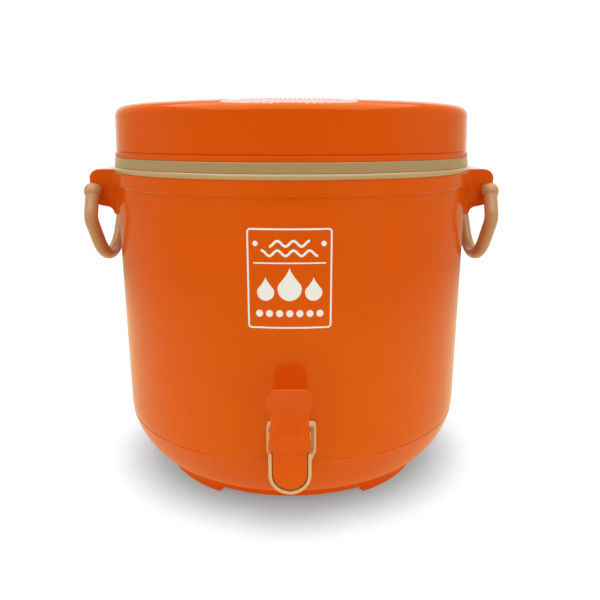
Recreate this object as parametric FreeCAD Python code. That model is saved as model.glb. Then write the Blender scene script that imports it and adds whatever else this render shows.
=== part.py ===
import FreeCAD
import Part
import math
import os

V = FreeCAD.Vector

# Insulated drink jug with a front tap. Millimetres, +Z up, front of the jug faces -Y.
# The origin is on the jug's axis, in the plane of the foot ring's lower face.

# ---- driving dimensions -------------------------------------------------------------
WALL_TOP_R = 150.6      # outer wall radius just under the collar
WALL_LOW_R = 149.0      # outer wall radius where the bowl begins
BOWL_Z = 62.0           # height where the wall turns into the bowl
BOWL_ARC_R = 60.5       # radius of the bowl's curve
BOWL_LOW_Z = 17.9       # lower edge of the bowl
SEAM_Z = 51.0           # joint line between shell and base cup
BASE_FLOOR = 3.2        # thickness of the base cup's floor
SEAM_STEP = 0.25        # the cup's rim stands this much proud of the shell
COLLAR_LOW_Z = 248.7    # step under the collar
SHELL_TOP_Z = 259.6     # top rim of the shell
COLLAR_R = 151.6        # collar radius
SHELL_WALL = 2.8        # moulded wall thickness
TONGUE_H = 3.0          # base cup's tongue that stands up inside the shell
TONGUE_T = 2.3          # thickness of that tongue
FOAM_GAP = 0.3          # space left between the foam and the walls

RING_R = 120.5          # recessed ring above the feet
RING_LOW_Z = 7.5        # underside of the base
FOOT_R = 117.0          # outer radius of the foot ring
FOOT_WIDTH = 7.0        # foot ring width
FOOT_GAP_DEG = 31.0     # half angle of the gap at the front

FLANGE_TOP_Z = 263.8    # top of the rounded rim bead
FLANGE_H = 2.6          # thickness of the liner's flange
BEAD_R = 152.5          # rim bead radius
LINER_TOP_R = 128.0     # liner inner radius at the mouth
LINER_LOW_R = 125.0     # liner inner radius near the floor
LINER_FLOOR_Z = 44.0    # top of the liner floor
LINER_WALL = 2.4
LINER_CORNER_R = 12.0

BAND_TOP_Z = 271.7      # top of the flat band under the lid
BAND_TOP_R = 150.1
BAND_LOW_R = 151.2
BAND_EDGE_R = 1.2       # rounding of the band's top edge
LIP_TOP_Z = 275.4       # lower lip of the lid cap
LIP_R = 150.3
GROOVE_R = 148.9        # bottom of the groove above the lip
LID_WALL_LOW_R = 149.4  # lid wall just above the groove
LID_WALL_TOP_R = 148.6
LID_WALL_TOP_Z = 303.7
LID_SHOULDER_R = 7.7    # tight shoulder arc
LID_SHOULDER_DEG = 67.0
LID_BROW_R = 22.1       # softer arc between the shoulder and the crown
LID_BROW_DEG = 85.4
LID_WALL = 3.4
PANEL_HALF_X = 48.0     # half width of the sunken grip panel across the lid
PANEL_END_Y = 145.6
PANEL_CORNER_R = 17.5
PANEL_DEPTH = 0.5
PANEL_TURN_Y = 104.0    # from here outwards the panel's floor slopes down
PANEL_TURN_Z = 314.4
PANEL_END_Z = 309.3     # floor of the panel at its front and back ends
PLUG_R = 126.2          # lid plug that drops into the liner
PLUG_LOW_Z = 252.0
PLUG_WALL = 2.6
GASKET_R = 127.45

LUG_X = 170.0           # outer face of a handle lug
LUG_HALF_Y = 34.0       # half width of a lug
LUG_TOP_Z = 261.2
LUG_LOW_Z = 233.0       # lower outer corner
LUG_ROOT_Z = 229.8      # lower inner corner
LUG_CORNER_R = 9.0
LUG_FILLET_R = 7.0      # flare where a lug runs into the wall
LUG_EDGE_R = 2.0        # rounding of a lug's upright edges
LUG_SIDE_WALL = 2.6
LUG_FRONT_WALL = 1.6
LUG_TOP_WALL = 3.0
SOCKET_WALL = 2.2       # wall of the tube around a handle stub
SOCKET_DEPTH = 12.5

PIVOT_X = 165.0         # handle pivot
PIVOT_Z = 243.6
STUB_R = 3.4            # handle stub
STUB_CLEAR = 0.05       # running clearance of the stub
BALL_Y = 42.7
BALL_R = 6.9
BOSS_R = 5.9
TUBE_R = 5.5            # handle tube
KNEE_Y = 53.2
KNEE_Z = 222.4
KNEE_R = 9.0
LOOP_R = 47.0           # radius of the loop's lower curve
LOOP_LOW_Z = 185.5      # centreline of the loop's lowest point

TAP_Z = 65.0            # axis of the tap's shank
SHANK_R = 10.0
BORE_CLEAR = 0.3        # clearance of the tap hole around the shank
SHANK_BORE_R = 7.8
SEAT_BORE_R = 5.0
SEAT_Y = -136.0
SHANK_END_Y = -106.0
PAD_Y = -149.4          # flat pad on the shell around the tap hole
LINER_PAD_Y = -123.9
WASHER_R = 13.0
WASHER_T = 1.6
NUT_R = 14.4            # corner radius of the six-sided nut
NUT_H = 8.0
SPRING_START = 4.2      # spring's inner end, behind the seat
SPRING_LENGTH = 17.0
PIN_Y = -162.0
PIN_Z = 76.0
PIN_R = 1.5
PIN_CLEAR = 0.05
HOUSING_W = 36.2
HOUSING_SHIFT = 0.9     # the housing plate sits slightly to the right of the lever
HOUSING_LOW_Z = 56.7
HOUSING_TOP_Z = 86.1
HOUSING_FRONT_Y = -155.5
SHROUD_W = 31.0
SHROUD_WALL = 2.4
SHROUD_LOW_Z = 36.0
SHROUD_FRONT_Y = -167.0
SHROUD_BACK_Y = -151.4
SHROUD_LEG_Z = 68.3
RIM_EDGE_R = 0.7        # rounding of the housing's and shroud's front rims
LEVER_LOW_Z = 40.2
LEVER_TOP_Z = 121.3
LEVER_EDGE_R = 0.7      # rounding of the paddle's front outline
PADDLE_LOW_Z = 99.2     # the paddle begins here, above the waist
HUB_R = 4.1             # lever hub around the pin
TONGUE_W = 24.8
PADDLE_W = 32.6
WAIST_W = 27.4
SHOULDER_W = 30.4

# ---- small helpers ------------------------------------------------------------------


def face_from(edges):
    """A face from edges that follow one another into a closed outline."""
    return Part.Face(Part.Wire(Part.__sortEdges__(edges)))


def outline(points, lift):
    """Edges through points; a point of four numbers is (mid a, mid b, end a, end b) of an arc."""
    edges = []
    last = points[0]
    for point in list(points[1:]) + [points[0]]:
        start = lift(*last[-2:])
        end = lift(*point[-2:])
        if len(point) == 4:
            edges.append(Part.Arc(start, lift(*point[:2]), end).toShape())
        elif start.distanceToPoint(end) > 1e-6:
            edges.append(Part.LineSegment(start, end).toShape())
        last = point
    return edges


def turned(points):
    """A body of revolution about Z from an outline of (radius, height) points."""
    face = face_from(outline(points, lambda r, z: V(r, 0, z)))
    return face.revolve(V(0, 0, 0), V(0, 0, 1), 360)


def arc_mid(cx, cy, radius, start_deg, end_deg):
    """The middle point of an arc given by its centre and end angles."""
    middle = math.radians((start_deg + end_deg) / 2.0)
    return (cx + radius * math.cos(middle), cy + radius * math.sin(middle))


def rod_y(radius, y0, y1, x, z):
    """A round rod along Y."""
    return Part.makeCylinder(radius, y1 - y0, V(x, y0, z), V(0, 1, 0))


def rod_x(radius, x0, x1, y, z):
    """A round rod along X."""
    return Part.makeCylinder(radius, x1 - x0, V(x0, y, z), V(1, 0, 0))


def block(x0, x1, y0, y1, z0, z1):
    """A box between two corners."""
    return Part.makeBox(x1 - x0, y1 - y0, z1 - z0, V(x0, y0, z0))


def bowl_radius(z, inset):
    """Radius of the bowl's curve at a height, moved inwards by inset."""
    reach = BOWL_ARC_R - inset
    return WALL_LOW_R - BOWL_ARC_R + math.sqrt(reach ** 2 - (BOWL_Z - z) ** 2)


def wall_radius(z, inset):
    """Radius of the outer wall at a height above the bowl, moved inwards by inset."""
    share = (z - BOWL_Z) / (COLLAR_LOW_Z - BOWL_Z)
    return WALL_LOW_R + share * (WALL_TOP_R - WALL_LOW_R) - inset


def liner_radius(z, inset):
    """Inner radius of the liner at a height above its corner, moved outwards by inset."""
    low = LINER_FLOOR_Z + LINER_CORNER_R
    share = (z - low) / (FLANGE_TOP_Z - low)
    return LINER_LOW_R + share * (LINER_TOP_R - LINER_LOW_R) + inset


def lid_skin(drop):
    """The lid's three arcs from wall to axis, for a skin moved inwards by drop."""
    a1 = math.radians(LID_SHOULDER_DEG)
    a2 = math.radians(LID_BROW_DEG)
    r1 = LID_WALL_TOP_R - LID_SHOULDER_R
    z1 = LID_WALL_TOP_Z
    r2 = r1 + (LID_SHOULDER_R - LID_BROW_R) * math.cos(a1)
    z2 = z1 + (LID_SHOULDER_R - LID_BROW_R) * math.sin(a1)
    small = LID_SHOULDER_R - drop
    brow = LID_BROW_R - drop
    edge = (r2 + brow * math.cos(a2), z2 + brow * math.sin(a2))
    big = (r2 + LID_BROW_R * math.cos(a2)) / math.cos(a2) - drop
    z3 = edge[1] - big * math.sin(a2)
    half_r = edge[0] * 0.5
    m1 = arc_mid(r1, z1, small, 0.0, LID_SHOULDER_DEG)
    m2 = arc_mid(r2, z2, brow, LID_SHOULDER_DEG, LID_BROW_DEG)
    return [
        (r1 + small, z1),
        (m1[0], m1[1], r1 + small * math.cos(a1), z1 + small * math.sin(a1)),
        (m2[0], m2[1], edge[0], edge[1]),
        (half_r, z3 + math.sqrt(big ** 2 - half_r ** 2), 0.0, z3 + big),
    ]


def write(shape, name):
    """One STEP file for one piece."""
    shape.exportStep(os.path.join("parts", name + ".step"))


# ---- jug body -----------------------------------------------------------------------


def tap_bore():
    """The hole for the tap's shank through shell, foam and liner."""
    return rod_y(SHANK_R + BORE_CLEAR, -WALL_TOP_R - 10.0, -LINER_LOW_R + 15.0, 0.0, TAP_Z)


def lug(side):
    """One side lug: a plan outline with flared roots, cut to its side profile."""
    flare_x = math.sqrt((WALL_TOP_R + LUG_FILLET_R) ** 2 - (LUG_HALF_Y + LUG_FILLET_R) ** 2)
    flare_y = LUG_HALF_Y + LUG_FILLET_R
    pull = WALL_TOP_R / (WALL_TOP_R + LUG_FILLET_R)
    root = (flare_x * pull - 0.6, flare_y * pull + 0.2)
    reach = math.hypot(root[0] - flare_x, root[1] - flare_y)
    turn = math.degrees(math.atan2(root[1] - flare_y, root[0] - flare_x)) % 360.0
    mid = arc_mid(flare_x, flare_y, (reach + LUG_FILLET_R) / 2.0, 270.0, turn)
    edge = LUG_EDGE_R
    bend = edge * (1.0 - math.sqrt(0.5))
    plan = [
        (LUG_X, -LUG_HALF_Y + edge),
        (LUG_X, LUG_HALF_Y - edge),
        (LUG_X - bend, LUG_HALF_Y - bend, LUG_X - edge, LUG_HALF_Y),
        (flare_x, LUG_HALF_Y),
        (mid[0], mid[1], root[0], root[1]),
        (WALL_TOP_R - 6.0, LUG_HALF_Y - 4.0),
        (WALL_TOP_R - 6.0, -LUG_HALF_Y + 4.0),
        (root[0], -root[1]),
        (mid[0], -mid[1], flare_x, -LUG_HALF_Y),
        (LUG_X - edge, -LUG_HALF_Y),
        (LUG_X - bend, -LUG_HALF_Y + bend, LUG_X, -LUG_HALF_Y + edge),
    ]
    face = face_from(outline(plan, lambda x, y: V(x, y, LUG_ROOT_Z - 8.0)))
    body = face.extrude(V(0, 0, LUG_TOP_Z - LUG_ROOT_Z + 8.0))
    top = arc_mid(LUG_X - LUG_CORNER_R, LUG_TOP_Z - LUG_CORNER_R, LUG_CORNER_R, 90.0, 0.0)
    side_profile = [
        (WALL_TOP_R - 7.0, LUG_TOP_Z),
        (LUG_X - LUG_CORNER_R, LUG_TOP_Z),
        (top[0], top[1], LUG_X, LUG_TOP_Z - LUG_CORNER_R),
        (LUG_X, LUG_LOW_Z + 2.0),
        (LUG_X - 0.55, LUG_LOW_Z + 0.45, LUG_X - 2.0, LUG_LOW_Z - 0.3),
        (WALL_TOP_R + 5.5, LUG_ROOT_Z + 0.4),
        (WALL_TOP_R + 1.6, LUG_ROOT_Z - 1.4, WALL_TOP_R - 0.3, LUG_ROOT_Z - 6.0),
        (WALL_TOP_R - 7.0, LUG_ROOT_Z - 6.0),
    ]
    slab = face_from(outline(side_profile, lambda x, z: V(x, -60.0, z)))
    body = body.common(slab.extrude(V(0, 120.0, 0)))
    hollow_y = LUG_HALF_Y - LUG_SIDE_WALL
    hollow = block(WALL_TOP_R + 2.0, LUG_X - LUG_FRONT_WALL, -hollow_y, hollow_y,
                   LUG_ROOT_Z - 20.0, LUG_TOP_Z - LUG_TOP_WALL)
    for end in (-1.0, 1.0):
        y0, y1 = sorted((end * (LUG_HALF_Y - SOCKET_DEPTH - 1.5), end * LUG_HALF_Y))
        socket = rod_y(STUB_R + SOCKET_WALL, y0, y1, PIVOT_X, PIVOT_Z)
        hollow = hollow.cut(socket)
    body = body.cut(hollow)
    for end in (-1.0, 1.0):
        y0, y1 = sorted((end * (LUG_HALF_Y - SOCKET_DEPTH), end * (LUG_HALF_Y + 2.0)))
        body = body.cut(rod_y(STUB_R + STUB_CLEAR, y0, y1, PIVOT_X, PIVOT_Z))
    core = turned([(0.0, BOWL_Z), (WALL_LOW_R, BOWL_Z)] + shell_skin()[3:] + [(0.0, SHELL_TOP_Z)])
    body = body.cut(core)
    body = body.cut(Part.makeCylinder(BEAD_R + 0.5, 20.0, V(0, 0, SHELL_TOP_Z)))
    if side < 0:
        body = body.rotate(V(0, 0, 0), V(0, 0, 1), 180.0)
    return body.removeSplitter()


def shell_skin():
    """The shell's outer profile from the seam up to its top rim."""
    bowl_mid_z = (SEAM_Z + BOWL_Z) / 2.0
    return [
        (bowl_radius(SEAM_Z, SEAM_STEP), SEAM_Z),
        (bowl_radius(SEAM_Z + SEAM_STEP, 0.0), SEAM_Z + SEAM_STEP),
        (bowl_radius(bowl_mid_z, 0.0), bowl_mid_z, WALL_LOW_R, BOWL_Z),
        (WALL_TOP_R, COLLAR_LOW_Z - 0.9),
        (COLLAR_R, COLLAR_LOW_Z),
        (COLLAR_R + 0.1, SHELL_TOP_Z - 0.5),
        (COLLAR_R - 0.4, SHELL_TOP_Z),
    ]


def outer_shell():
    """Tapered wall with collar, tap pad and tap hole."""
    inner_mid_z = (SEAM_Z + BOWL_Z) / 2.0
    shell = turned(shell_skin() + [
        (WALL_TOP_R - SHELL_WALL, SHELL_TOP_Z),
        (wall_radius(COLLAR_LOW_Z, SHELL_WALL), COLLAR_LOW_Z),
        (WALL_LOW_R - SHELL_WALL, BOWL_Z),
        (bowl_radius(inner_mid_z, SHELL_WALL), inner_mid_z, bowl_radius(SEAM_Z, SHELL_WALL), SEAM_Z),
    ])
    shell = shell.fuse(rod_y(WASHER_R, PAD_Y, PAD_Y + 4.0, 0.0, TAP_Z))
    room = Part.makeCylinder(WALL_LOW_R - SHELL_WALL - 1.2, 40.0, V(0, 0, TAP_Z - 20.0))
    shell = shell.cut(room.common(rod_y(16.0, -150.0, -130.0, 0.0, TAP_Z)))
    shell = shell.cut(tap_bore())
    return shell.removeSplitter()


def base_cup():
    """Bowl-shaped base with its recessed ring and the foot ring, open at the front."""
    low_mid_z = 33.0
    rim_z = SEAM_Z - 2.0 * SEAM_STEP
    floor_top = RING_LOW_Z + BASE_FLOOR
    cup = turned([
        (0.0, RING_LOW_Z),
        (RING_R - 1.0, RING_LOW_Z),
        (RING_R - 0.3, RING_LOW_Z + 0.3, RING_R, RING_LOW_Z + 1.0),
        (RING_R + 0.8, BOWL_LOW_Z - 1.6),
        (bowl_radius(BOWL_LOW_Z, 0.0) - 1.6, BOWL_LOW_Z - 0.9),
        (bowl_radius(BOWL_LOW_Z, 0.0) - 0.45, BOWL_LOW_Z - 0.5, bowl_radius(BOWL_LOW_Z, 0.0), BOWL_LOW_Z),
        (bowl_radius(low_mid_z, -0.5 * SEAM_STEP), low_mid_z, bowl_radius(rim_z, -SEAM_STEP), rim_z),
        (bowl_radius(SEAM_Z, SEAM_STEP), SEAM_Z),
        (bowl_radius(SEAM_Z, SHELL_WALL), SEAM_Z),
        (bowl_radius(SEAM_Z, SHELL_WALL) - 0.3, SEAM_Z + TONGUE_H),
        (bowl_radius(SEAM_Z, SHELL_WALL) - TONGUE_T, SEAM_Z + TONGUE_H),
        (bowl_radius(SEAM_Z, SHELL_WALL) - TONGUE_T, SEAM_Z - 6.0),
        (bowl_radius(34.0, SHELL_WALL + 1.0), 34.0, RING_R - 2.0, floor_top + 3.0),
        (RING_R - 5.0, floor_top),
        (0.0, floor_top),
    ])
    ring = turned([
        (FOOT_R - FOOT_WIDTH, RING_LOW_Z + 1.0),
        (FOOT_R - FOOT_WIDTH + 0.6, 0.0),
        (FOOT_R - 0.6, 0.0),
        (FOOT_R, RING_LOW_Z + 1.0),
    ])
    half = math.radians(FOOT_GAP_DEG)
    far = 200.0
    gap = face_from(outline([
        (0.0, 0.0),
        (-far * math.sin(half), -far * math.cos(half)),
        (far * math.sin(half), -far * math.cos(half)),
    ], lambda x, y: V(x, y, -1.0))).extrude(V(0, 0, RING_LOW_Z + 1.0))
    return cup.fuse(ring.cut(gap)).removeSplitter()


def liner():
    """Inner tank whose top flange shows as the rounded bead under the lid."""
    corner_top = LINER_FLOOR_Z + LINER_CORNER_R
    corner_r = LINER_LOW_R - LINER_CORNER_R
    outer_arc = LINER_CORNER_R + LINER_WALL
    inner_mid = arc_mid(corner_r, corner_top, LINER_CORNER_R, 0.0, -90.0)
    outer_mid = arc_mid(corner_r, corner_top, outer_arc, 0.0, -90.0)
    flange_low = FLANGE_TOP_Z - FLANGE_H
    tank = turned([
        (0.0, LINER_FLOOR_Z),
        (corner_r, LINER_FLOOR_Z),
        (inner_mid[0], inner_mid[1], LINER_LOW_R, corner_top),
        (LINER_TOP_R, FLANGE_TOP_Z - 1.2),
        (LINER_TOP_R + 0.4, FLANGE_TOP_Z - 0.35, LINER_TOP_R + 1.2, FLANGE_TOP_Z),
        (BAND_LOW_R + 0.1, FLANGE_TOP_Z),
        (BEAD_R, (FLANGE_TOP_Z + SHELL_TOP_Z) / 2.0, BAND_LOW_R, SHELL_TOP_Z),
        (WALL_TOP_R - SHELL_WALL - 2.6, SHELL_TOP_Z),
        (WALL_TOP_R - SHELL_WALL - 4.6, flange_low),
        (liner_radius(flange_low, LINER_WALL), flange_low),
        (LINER_LOW_R + LINER_WALL, corner_top),
        (outer_mid[0], outer_mid[1], corner_r, LINER_FLOOR_Z - LINER_WALL),
        (0.0, LINER_FLOOR_Z - LINER_WALL),
    ])
    pad = rod_y(14.6, LINER_PAD_Y - 3.0, LINER_PAD_Y, 0.0, TAP_Z)
    inside = turned([
        (0.0, LINER_FLOOR_Z + 0.5),
        (corner_r, LINER_FLOOR_Z + 0.5),
        (inner_mid[0] + 0.7, inner_mid[1] - 0.7, LINER_LOW_R + 1.0, corner_top),
        (LINER_LOW_R + 1.4, 120.0),
        (0.0, 120.0),
    ])
    tank = tank.fuse(pad.common(inside))
    tank = tank.cut(tap_bore())
    return tank.removeSplitter()


def body_insulation():
    """Foam filling between the shell, the base cup and the liner."""
    skin = SHELL_WALL + FOAM_GAP
    corner_top = LINER_FLOOR_Z + LINER_CORNER_R
    corner_r = LINER_LOW_R - LINER_CORNER_R
    hug = LINER_CORNER_R + LINER_WALL + FOAM_GAP
    hug_mid = arc_mid(corner_r, corner_top, hug, 0.0, -90.0)
    top = FLANGE_TOP_Z - FLANGE_H - FOAM_GAP
    foam = turned([
        (0.0, RING_LOW_Z + BASE_FLOOR + FOAM_GAP),
        (RING_R - 6.0, RING_LOW_Z + BASE_FLOOR + FOAM_GAP),
        (bowl_radius(34.0, SHELL_WALL + 2.6), 34.0),
        (bowl_radius(SEAM_Z, SHELL_WALL) - TONGUE_T - FOAM_GAP, SEAM_Z - 6.0),
        (bowl_radius(SEAM_Z, SHELL_WALL) - TONGUE_T - FOAM_GAP, SEAM_Z + TONGUE_H + FOAM_GAP),
        (wall_radius(BOWL_Z + 10.0, skin + 1.3), BOWL_Z + 10.0),
        (wall_radius(TAP_Z + 22.0, skin + 1.3), TAP_Z + 22.0),
        (wall_radius(TAP_Z + 24.0, skin), TAP_Z + 24.0),
        (wall_radius(COLLAR_LOW_Z, skin), COLLAR_LOW_Z),
        (WALL_TOP_R - skin - 5.0, top),
        (liner_radius(top, LINER_WALL + FOAM_GAP), top),
        (LINER_LOW_R + LINER_WALL + FOAM_GAP, corner_top),
        (hug_mid[0], hug_mid[1], corner_r, LINER_FLOOR_Z - LINER_WALL - FOAM_GAP),
        (0.0, LINER_FLOOR_Z - LINER_WALL - FOAM_GAP),
    ])
    return foam.cut(tap_bore())


# ---- lid ----------------------------------------------------------------------------


def grip_panel():
    """The space above the sunken grip panel: a round-cornered strip with ends that slope down."""
    x = PANEL_HALF_X
    y = PANEL_END_Y
    c = PANEL_CORNER_R
    b = c * (1.0 - math.sqrt(0.5))
    plan = face_from(outline([
        (-x, -y + c),
        (-x + b, -y + b, -x + c, -y),
        (x - c, -y),
        (x - b, -y + b, x, -y + c),
        (x, y - c),
        (x - b, y - b, x - c, y),
        (-x + c, y),
        (-x + b, y - b, -x, y - c),
    ], lambda a, d: V(a, d, LID_WALL_TOP_Z))).extrude(V(0, 0, 40.0))
    core = turned([(0.0, LID_WALL_TOP_Z)] + lid_skin(PANEL_DEPTH))
    space = plan.cut(core)
    for end in (-1.0, 1.0):
        wedge = face_from(outline([
            (end * (PANEL_END_Y + 1.0), PANEL_END_Z - 0.13),
            (end * PANEL_TURN_Y, PANEL_TURN_Z),
            (end * PANEL_TURN_Y, PANEL_TURN_Z + 30.0),
            (end * (PANEL_END_Y + 1.0), PANEL_TURN_Z + 30.0),
        ], lambda d, z: V(-80.0, d, z))).extrude(V(160.0, 0, 0))
        space = space.fuse(plan.common(wedge))
    return space


def lid_cap():
    """Domed cover with a rounded shoulder, a sunken grip panel and a groove above its lower lip."""
    outside = lid_skin(0.0)
    inside = lid_skin(LID_WALL)
    lip_in = LID_WALL_LOW_R - LID_WALL
    back = [inside[3][-2:], (inside[3][0], inside[3][1], inside[2][-2], inside[2][-1])]
    back.append((inside[2][0], inside[2][1], inside[1][-2], inside[1][-1]))
    back.append((inside[1][0], inside[1][1], inside[0][0], inside[0][1]))
    cap = turned([
        (LIP_R - 0.3, BAND_TOP_Z),
        (LIP_R, BAND_TOP_Z + 0.3),
        (LIP_R, LIP_TOP_Z - 0.5),
        (LIP_R - 0.15, LIP_TOP_Z - 0.12, LIP_R - 0.5, LIP_TOP_Z),
        (GROOVE_R, LIP_TOP_Z),
        (GROOVE_R, LIP_TOP_Z + 0.7),
        (LID_WALL_LOW_R, LIP_TOP_Z + 1.1),
    ] + outside + back + [
        (lip_in, LIP_TOP_Z),
        (lip_in, BAND_TOP_Z),
    ])
    return cap.cut(grip_panel()).removeSplitter()


def lid_liner():
    """Beige underside of the lid: outer band, flange and the plug that drops into the tank."""
    plate_low = BAND_TOP_Z - 2.5
    low = FLANGE_TOP_Z + 0.1
    band_edge = BAND_TOP_R + 0.5
    bend = BAND_EDGE_R * (1.0 - math.sqrt(0.5))
    return turned([
        (0.0, PLUG_LOW_Z),
        (PLUG_R - 4.0, PLUG_LOW_Z),
        (PLUG_R - 1.2, PLUG_LOW_Z + 1.2, PLUG_R, PLUG_LOW_Z + 4.0),
        (PLUG_R, plate_low),
        (BAND_LOW_R - 3.2, plate_low),
        (BAND_LOW_R - 3.2, low),
        (BAND_LOW_R - 0.3, low),
        (BAND_LOW_R, low + 0.3),
        (band_edge, BAND_TOP_Z - BAND_EDGE_R),
        (band_edge - bend, BAND_TOP_Z - bend, band_edge - BAND_EDGE_R, BAND_TOP_Z),
        (PLUG_R - PLUG_WALL, BAND_TOP_Z),
        (PLUG_R - PLUG_WALL, PLUG_LOW_Z + 5.0),
        (PLUG_R - PLUG_WALL - 0.6, PLUG_LOW_Z + 3.2, PLUG_R - 5.0, PLUG_LOW_Z + PLUG_WALL),
        (0.0, PLUG_LOW_Z + PLUG_WALL),
    ])


def lid_gasket():
    """Silicone ring around the plug with a thin sealing lip."""
    return turned([
        (PLUG_R, PLUG_LOW_Z + 6.0),
        (GASKET_R - 0.4, PLUG_LOW_Z + 6.2),
        (GASKET_R, PLUG_LOW_Z + 7.2, GASKET_R - 0.4, PLUG_LOW_Z + 8.2),
        (PLUG_R + 0.5, PLUG_LOW_Z + 8.6),
        (PLUG_R + 0.5, PLUG_LOW_Z + 10.0),
        (GASKET_R - 0.3, PLUG_LOW_Z + 10.4),
        (GASKET_R, PLUG_LOW_Z + 11.0, GASKET_R - 0.3, PLUG_LOW_Z + 11.6),
        (PLUG_R, PLUG_LOW_Z + 12.0),
    ])


def lid_insulation():
    """Foam block inside the lid."""
    gap = 0.4
    wide = LID_WALL_TOP_R - LID_WALL - gap
    top = lid_skin(LID_WALL + gap)
    return turned([
        (0.0, PLUG_LOW_Z + PLUG_WALL + gap),
        (PLUG_R - 6.0, PLUG_LOW_Z + PLUG_WALL + gap),
        (PLUG_R - PLUG_WALL - gap, PLUG_LOW_Z + 6.0),
        (PLUG_R - PLUG_WALL - gap, BAND_TOP_Z + gap),
        (wide, BAND_TOP_Z + gap),
    ] + top)


# ---- handles ------------------------------------------------------------------------


def handle(side):
    """A swing handle: bent round bar with ball elbows and stubs that enter the lug."""
    centre_z = LOOP_LOW_Z + LOOP_R
    reach = math.hypot(KNEE_Y, KNEE_Z - centre_z)
    base = math.atan2(KNEE_Z - centre_z, KNEE_Y)
    swing = math.acos(LOOP_R / reach)
    touch = (LOOP_R * math.cos(base - swing), centre_z + LOOP_R * math.sin(base - swing))
    up = math.hypot(BALL_Y - KNEE_Y, PIVOT_Z - KNEE_Z)
    up_dir = ((BALL_Y - KNEE_Y) / up, (PIVOT_Z - KNEE_Z) / up)
    down = math.hypot(touch[0] - KNEE_Y, touch[1] - KNEE_Z)
    down_dir = ((touch[0] - KNEE_Y) / down, (touch[1] - KNEE_Z) / down)
    cosine = up_dir[0] * down_dir[0] + up_dir[1] * down_dir[1]
    half = math.acos(cosine) / 2.0
    back = KNEE_R / math.tan(half)
    a = (KNEE_Y + up_dir[0] * back, KNEE_Z + up_dir[1] * back)
    b = (KNEE_Y + down_dir[0] * back, KNEE_Z + down_dir[1] * back)
    middle = ((up_dir[0] + down_dir[0]) / 2.0, (up_dir[1] + down_dir[1]) / 2.0)
    size = math.hypot(middle[0], middle[1])
    depth = KNEE_R / math.sin(half) - KNEE_R
    bend = (KNEE_Y + middle[0] / size * depth, KNEE_Z + middle[1] / size * depth)
    x = side * PIVOT_X

    def at(y, z):
        return V(x, y, z)

    path = Part.Wire([
        Part.LineSegment(at(BALL_Y, PIVOT_Z), at(*a)).toShape(),
        Part.Arc(at(*a), at(*bend), at(*b)).toShape(),
        Part.LineSegment(at(*b), at(*touch)).toShape(),
        Part.Arc(at(*touch), at(0.0, LOOP_LOW_Z), at(-touch[0], touch[1])).toShape(),
        Part.LineSegment(at(-touch[0], touch[1]), at(-b[0], b[1])).toShape(),
        Part.Arc(at(-b[0], b[1]), at(-bend[0], bend[1]), at(-a[0], a[1])).toShape(),
        Part.LineSegment(at(-a[0], a[1]), at(-BALL_Y, PIVOT_Z)).toShape(),
    ])
    start = at(BALL_Y, PIVOT_Z)
    ring = Part.Wire(Part.Circle(start, V(0, -up_dir[0], -up_dir[1]), TUBE_R).toShape())
    bar = path.makePipeShell([ring], True, True)
    pieces = []
    for end in (-1.0, 1.0):
        pieces.append(Part.makeSphere(BALL_R, at(end * BALL_Y, PIVOT_Z)))
        y0, y1 = sorted((end * (LUG_HALF_Y + 0.4), end * BALL_Y))
        pieces.append(rod_y(BOSS_R, y0, y1, x, PIVOT_Z))
        y0, y1 = sorted((end * (LUG_HALF_Y - SOCKET_DEPTH + 0.5), end * BALL_Y))
        pieces.append(rod_y(STUB_R, y0, y1, x, PIVOT_Z))
    return bar.fuse(pieces)


# ---- tap ----------------------------------------------------------------------------


def edges_at(solid, y):
    """Edges that lie in the plane at y."""
    found = []
    for edge in solid.Edges:
        box = edge.BoundBox
        if abs(box.YMin - y) < 0.01 and box.YLength < 0.01:
            found.append(edge)
    return found


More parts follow.
